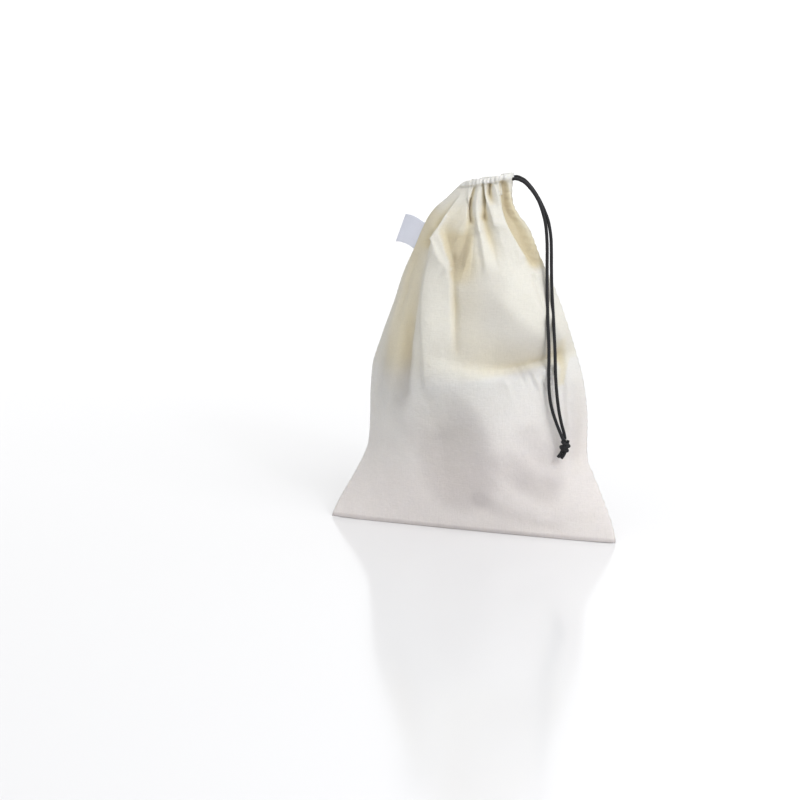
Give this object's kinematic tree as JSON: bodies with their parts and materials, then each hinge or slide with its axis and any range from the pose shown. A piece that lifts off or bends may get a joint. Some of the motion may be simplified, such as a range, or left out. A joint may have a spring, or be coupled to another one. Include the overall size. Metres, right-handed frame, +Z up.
{
  "type": "cotton drawstring pouch",
  "caption": "Plain unbleached cotton pouch, standing filled out on its base, its hemmed mouth drawn shut by a black cord that hangs down the front in a knot.",
  "frame": {"origin": "middle of the footprint on the surface the pouch stands on", "axes": "+Z up to the gathered mouth, +X from the label's seam to the seam where the cord leaves, -Y towards the front panel and the hanging cord"},
  "size_m": [0.287, 0.1179, 0.3445],
  "materials": {
    "natural_cotton": "matt plain-woven unbleached cotton",
    "label_tape": "smooth bluish-white woven tape",
    "black_cord": "matt braided cotton cord"
  },
  "bodies": {
    "root": {"front_panel": "natural_cotton", "back_panel": "natural_cotton", "side_label": "label_tape", "cord_strand_left": "black_cord", "cord_strand_right": "black_cord", "cord_knot": "black_cord"}
  },
  "joints": []
}
